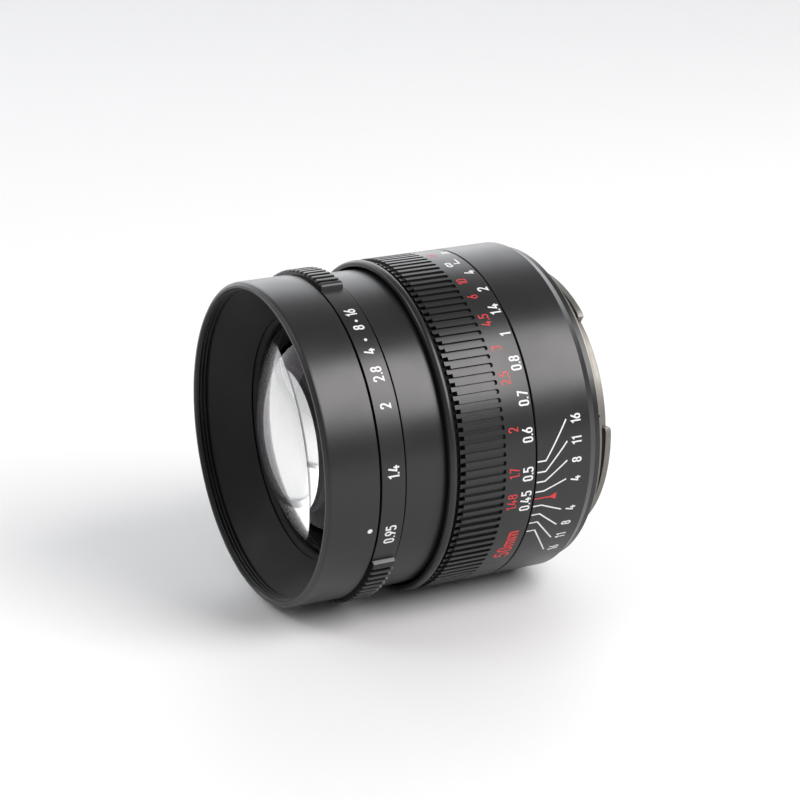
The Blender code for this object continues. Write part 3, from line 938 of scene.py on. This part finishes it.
def bayonet_mount():
    obj = turned(
        "bayonet_mount_visual",
        [
            (57.9, 24.9),
            (59.6, 24.9),
            (59.6, FLANGE_RADIUS, 0.06),
            (60.5, FLANGE_RADIUS, 0.16),
            (60.5, MOUNT_CORE_RADIUS + 0.25),
            (60.3, MOUNT_CORE_RADIUS + 0.2),
            (60.3, MOUNT_CORE_RADIUS),
            (64.9, MOUNT_CORE_RADIUS, 0.2),
            (64.9, THROAT_RADIUS, 0.2),
            (57.9, THROAT_RADIUS),
        ],
        192,
    )
    combined(obj, [lug(number) for number in range(LUG_COUNT)], "UNION")
    cutters = [cylinder_along("hole", 1.62, 59.0, 61.0, angle, SCREW_CIRCLE) for angle in SCREW_ANGLES]
    cutters.append(radial_prism("notch", 0.36, 24.9, 29.0, 62.3, NOTCH_ANGLE, 24))
    cutters.append(radial_prism("dimple", 0.2, 30.6, 32.0, 60.05, DIMPLE_ANGLE, 16))
    cutters.append(cylinder_along("lock_hole", 1.25, 59.9, 61.0, LOCK_ANGLE, 29.0))
    combined(obj, cutters, "DIFFERENCE")
    finish_piece(obj, looks["chrome"], "barrel", ["bayonet_mount"])
    for number, angle in enumerate(SCREW_ANGLES, 1):
        mount_screw(number, angle)


def mount_screw(number, angle):
    name = f"mount_screw_{number}"
    screw = cylinder_along(name + "_visual", 1.36, 59.75, SCREW_HEAD_TOP, angle, SCREW_CIRCLE, 40)
    shank = cylinder_along("shank", 0.75, 57.6, 60.0, angle, SCREW_CIRCLE)
    combined(screw, [shank], "UNION")
    cross = []
    for quarter in (0.0, math.pi / 2):
        box = bmesh.new()
        bmesh.ops.create_cube(box, size=1.0)
        bmesh.ops.scale(box, vec=[side * MM for side in CROSS_ARM], verts=box.verts)
        spin = Matrix.Rotation(quarter + CROSS_TURN * number, 3, "Y")
        bmesh.ops.rotate(box, verts=box.verts, cent=(0, 0, 0), matrix=spin)
        bmesh.ops.translate(box, vec=at(SCREW_CIRCLE, angle, SCREW_HEAD_TOP), verts=box.verts)
        mesh = bpy.data.meshes.new("cross")
        box.to_mesh(mesh)
        box.free()
        arm = bpy.data.objects.new("cross", mesh)
        bpy.context.scene.collection.objects.link(arm)
        cross.append(arm)
    combined(screw, cross, "DIFFERENCE")
    finish_piece(screw, looks["chrome"], "barrel", [name])


def rear_pieces():
    ridges = []
    ridge_count, ridge_pitch = 9, 0.5
    for i in range(ridge_count):
        along = 58.6 + ridge_pitch * i
        ridges += [(along, 22.85), (along + ridge_pitch / 2, 22.6)]
    baffle = turned(
        "rear_baffle_visual",
        [(58.3, 22.6), (58.3, 23.6), (64.4, 23.6, 0.1), (64.4, 21.0, 0.1), (63.4, 21.0, 0.1)]
        + [(63.4, 22.6)]
        + ridges[::-1],
        192,
    )
    finish_piece(baffle, looks["plastic"], "barrel", ["rear_baffle"])
    cell = turned(
        "rear_cell_visual",
        [
            (33.4, 25.9),
            (34.6, 25.9),
            (34.6, 19.6),
            (56.6, 19.6, 0.1),
            (57.4, 18.8, 0.1),
            (57.4, 17.8, 0.05),
            (47.1, 17.8),
            (47.1, 15.4),
            (41.3, 15.4),
            (41.3, 16.8),
            (33.4, 16.8),
        ],
        160,
    )
    finish_piece(cell, looks["matt"], "optics", ["rear_cell"])
    ring = turned(
        "rear_retaining_ring_visual",
        [(56.7, 15.9, 0.03), (56.7, 17.5), (57.4, 17.5, 0.05), (57.4, 16.4, 0.05)],
        160,
    )
    finish_piece(ring, looks["matt"], "optics", ["rear_retaining_ring"])
    spacer = turned("rear_spacer_visual", [(49.7, 16.4), (49.7, 17.4), (54.8, 17.4), (54.8, 16.4)], 128)
    finish_piece(spacer, looks["matt"], "optics", ["rear_spacer"])


def kept_nodes():
    """The hidden mechanism keeps its CAD solids and takes the scene's materials."""
    by_look = {
        "steel": ["cam_ring", "blade_plate"],
        "blade": [f"iris_blade_{i:02d}" for i in range(1, 14)],
        "brass": ["helicoid_keeper_ring", "focus_helicoid", "aperture_link", "guide_key_1", "guide_key_2"],
    }
    for look, nodes in by_look.items():
        for node in nodes:
            mesh = frame["nodes"][node].data
            mesh.materials.clear()
            mesh.materials.append(looks[look])


# ---------------------------------------------------------------- marks

APERTURES = {"16": 64.3, "8": 57.1, "4": 47.2, "2.8": 38.4, "2": 27.3, "1.4": 4.7, "0.95": -19.0}
APERTURE_DOTS = (60.2, 51.7)
METRES = {
    "m": 92.9,
    "4": 74.3,
    "2": 64.3,
    "1.4": 54.8,
    "1": 44.5,
    "0.8": 34.1,
    "0.7": 22.2,
    "0.6": 9.9,
    "0.5": -3.5,
    "0.45": -13.6,
}
FEET = {
    "ft": 91.9,
    "10": 69.3,
    "6": 61.3,
    "4.5": 51.0,
    "3": 40.1,
    "2.5": 29.7,
    "2": 12.4,
    "1.7": -2.6,
    "1.48": -13.4,
}
# Depth-of-field lines: figure, angle at the ring, angle at the figure.
DEPTH_LINES = [
    ("16", 0.1, 13.0),
    ("11", -3.7, 5.6),
    ("8", -7.3, -1.1),
    ("4", -11.0, -7.85),
    ("4", -16.65, -20.0),
    ("8", -20.35, -27.0),
    ("11", -23.95, -33.8),
    ("16", -27.85, -41.5),
]
INDEX_ANGLE = -13.7

# Places along the axis, and heights, of the figures and lines.
APERTURE_FIGURES, APERTURE_HEIGHT = 14.0, 2.3
METRE_FIGURES, METRE_HEIGHT = 42.45, 2.3
FEET_FIGURES, FEET_HEIGHT = 39.4, 2.2
FEET_WEIGHT = 0.1
DEPTH_FIGURES, DEPTH_HEIGHT = 53.3, 2.15
DEPTH_START, DEPTH_BEND, DEPTH_END = 44.5, 46.35, 51.15
UPPER_FIGURE_DROP = 0.3  # degrees


def marks():
    aperture = Marks("aperture_figures", APERTURE_RING_RADIUS)
    for text, angle in APERTURES.items():
        aperture.text(text, angle, APERTURE_FIGURES, APERTURE_HEIGHT)
    for angle in APERTURE_DOTS:
        aperture.dot(angle, 14.2, 0.32)
    aperture.build(looks["white"], "aperture")

    index = Marks("aperture_index_dot", FRONT_RADIUS)
    index.dot(-15.8, 9.37, 0.5)
    index.build(looks["white"], "optics")

    metres = Marks("distance_figures_metres", GRIP_RADIUS)
    for text, angle in METRES.items():
        metres.text(text, angle, METRE_FIGURES, METRE_HEIGHT)
    metres.text("∞", 80.8, 39.9, 2.0, 0.17)
    metres.line([(41.0, 81.1), (42.35, 81.1), (42.35, 84.8)], 0.32, 3)
    metres.build(looks["white"], "focus")

    feet = Marks("distance_figures_feet", GRIP_RADIUS)
    for text, angle in FEET.items():
        feet.text(text, angle, FEET_FIGURES, FEET_HEIGHT, FEET_WEIGHT)
    feet.text("50mm", -33.6, 41.0, 3.3, 0.135)
    feet.build(looks["red"], "focus")

    depth = Marks("depth_of_field_scale", GRIP_RADIUS)
    for text, near, far in DEPTH_LINES:
        depth.line([(DEPTH_START, near), (DEPTH_BEND, near), (DEPTH_END, far)], 0.3)
        drop = UPPER_FIGURE_DROP if far > INDEX_ANGLE else 0.0
        depth.text(text, far - drop, DEPTH_FIGURES, DEPTH_HEIGHT)
    depth.build(looks["white"], "barrel")

    pointer = Marks("focus_index", GRIP_RADIUS)
    pointer.line([(DEPTH_START, INDEX_ANGLE), (47.9, INDEX_ANGLE)], 0.26, 4)
    pointer.wedge(INDEX_ANGLE, 47.7, 49.3, 1.5)
    pointer.build(looks["red"], "barrel")


# ---------------------------------------------------------------- studio

SWEEP_DIRECTION = (-0.89, 0.457, 0.0)
SWEEP_LEVEL, ROOM_LEVEL = 2.4, 0.35
SWEEP_EDGE = (0.45, 0.93)  # how far a direction agrees with the sweep's where it starts and is full
SWEEP_TOP = (0.5, 0.85)
WHITE = (1.0, 1.0, 1.0)
# Each box: place, size, power and colour.
BOXES = {
    "side_box": ((0.55, 0.4, 0.62), (0.52, 0.62), 7.8, (1.0, 0.975, 0.965)),
    "left_box": ((-0.75, -0.45, 0.35), (0.6, 0.6), 0.8, WHITE),
    "front_box": ((-0.22, -0.72, 0.8), (0.45, 0.35), 1.9, WHITE),
}
FLOOR_GAP = 0.02


def floor():
    radius, steps = 4.0, 96
    level = AXIS_HEIGHT - (GRIP_RADIUS + FLOOR_GAP) * MM
    points = [(0.0, 0.0, level)]
    for i in range(steps):
        bend = math.tau * i / steps
        points.append((radius * math.cos(bend), radius * math.sin(bend), level))
    faces = [(0, 1 + i, 1 + (i + 1) % steps) for i in range(steps)]
    obj = new_object("floor", points, faces)
    shader = Shader("floor_white", (0.9, 0.9, 0.9), 0.5)
    shader.set(shader.bsdf, "Specular IOR Level", 0.25)
    obj.data.materials.append(shader.material)


def area_light(name, place, size, power, colour):
    """A rectangular light that faces the middle of the lens."""
    data = bpy.data.lights.new(name, "AREA")
    data.shape = "RECTANGLE"
    data.size, data.size_y = size
    data.energy = power
    data.color = colour
    light = bpy.data.objects.new(name, data)
    bpy.context.scene.collection.objects.link(light)
    light.location = place
    aim = Vector((0, 0, AXIS_HEIGHT)) - Vector(place)
    light.rotation_euler = aim.to_track_quat("-Z", "Y").to_euler()


def studio():
    """A white sweep behind and to the left, a large box at the right, weak fills, a dark ceiling."""
    world = bpy.data.worlds.new("studio")
    world.use_nodes = True
    tree = world.node_tree
    background = tree.nodes["Background"]

    def node(kind, **settings):
        made = tree.nodes.new(kind)
        for name, value in settings.items():
            setattr(made, name, value)
        return made

    def ramp(value, low, high, start, end):
        made = node("ShaderNodeMapRange", interpolation_type="SMOOTHSTEP")
        tree.links.new(value, made.inputs["Value"])
        for socket, number in zip(("From Min", "From Max", "To Min", "To Max"), (low, high, start, end)):
            made.inputs[socket].default_value = number
        return made.outputs["Result"]

    direction = node("ShaderNodeTexCoord").outputs["Generated"]
    facing = node("ShaderNodeVectorMath", operation="DOT_PRODUCT")
    tree.links.new(direction, facing.inputs[0])
    facing.inputs[1].default_value = SWEEP_DIRECTION
    parts = node("ShaderNodeSeparateXYZ")
    tree.links.new(direction, parts.inputs[0])
    sweep = ramp(facing.outputs["Value"], *SWEEP_EDGE, 0.0, 1.0)
    low_part = ramp(parts.outputs["Z"], *SWEEP_TOP, 1.0, 0.0)
    both = node("ShaderNodeMath", operation="MULTIPLY")
    tree.links.new(sweep, both.inputs[0])
    tree.links.new(low_part, both.inputs[1])
    strength = ramp(both.outputs[0], 0.0, 1.0, ROOM_LEVEL, SWEEP_LEVEL)
    tree.links.new(strength, background.inputs["Strength"])
    background.inputs["Color"].default_value = (0.97, 0.98, 1.0, 1.0)
    bpy.context.scene.world = world

    for name, settings in BOXES.items():
        area_light(name, *settings)
    bpy.context.scene.view_settings.view_transform = "Standard"


def camera():
    """The lens from its right and front, a little from above, with its front glass to the left."""
    azimuth, elevation = math.radians(62.824), math.radians(18.488)
    distance, shift_right, shift_up = 517.6, 1.745, 4.706
    middle_along = 29.845
    level = math.cos(elevation)
    back = Vector((math.sin(azimuth) * level, -math.cos(azimuth) * level, math.sin(elevation)))
    right = Vector((math.cos(azimuth), math.sin(azimuth), 0))
    up = back.cross(right)
    target = Vector(at(0.0, 0.0, middle_along))
    data = bpy.data.cameras.new("camera")
    data.lens = 115.35
    data.sensor_width = 36.0
    data.clip_start = 0.01
    obj = bpy.data.objects.new("camera", data)
    bpy.context.scene.collection.objects.link(obj)
    place = target + (back * distance + right * shift_right + up * shift_up) * MM
    turn = Matrix((right, up, back)).transposed().to_4x4()
    obj.matrix_world = Matrix.Translation(place) @ turn
    bpy.context.scene.camera = obj


looks = {
    "body": anodised("black_anodised"),
    "cone": matt_black("cone_black", (0.010, 0.010, 0.011), (0.5, 0.62), 0.3),
    # edge: painted light, a lighter copy of the anodised black for the rim's front face.
    "edge": anodised("rim_face_painted_light", (0.02, 0.02, 0.021), 0.3, 0.38, 0.5),
    # groove: painted shade, a near-black with little reflection for the floor of the groove.
    "groove": matt_black("groove_floor_painted_shade", (0.003, 0.003, 0.0032), (0.6, 0.75), 0.1),
    "matt": matt_black("matt_black"),
    "ground_edge": matt_black("ground_glass_edge", (0.008, 0.008, 0.009), (0.5, 0.7), 0.4),
    "plastic": matt_black("baffle_plastic", (0.02, 0.02, 0.021), (0.5, 0.62), 0.5),
    "steel": machined("blackened_steel", (0.03, 0.03, 0.033), (0.06, 0.06, 0.066), 0.35, 0.5),
    "blade": machined("iris_blade_steel", (0.24, 0.24, 0.25), (0.33, 0.33, 0.34), 0.4, 0.52),
    "brass": machined("machined_brass", (0.5, 0.34, 0.12), (0.66, 0.47, 0.19)),
    "chrome": chrome("satin_chrome"),
    "white": paint("white_fill", (0.82, 0.82, 0.82)),
    "red": paint("red_fill", (0.72, 0.03, 0.035)),
    "glass_front": glass("coated_glass_front", 1.75, (1.0, 1.0, 1.0), (0.3, 0.24, 0.32)),
    "glass_inner": glass("coated_glass_inner", 1.7, (1.0, 0.99, 0.98), (0.16, 0.1, 0.12)),
    "glass_rear": glass("coated_glass_rear", 1.7, (1.0, 1.0, 1.0), (0.3, 0.22, 0.4)),
}

camera()
studio()
floor()
front_barrel()
front_cell_pieces()
glass_elements()
aperture_ring()
focusing_sleeve()
focus_ring()
rear_barrel()
bayonet_mount()
rear_pieces()
kept_nodes()
marks()
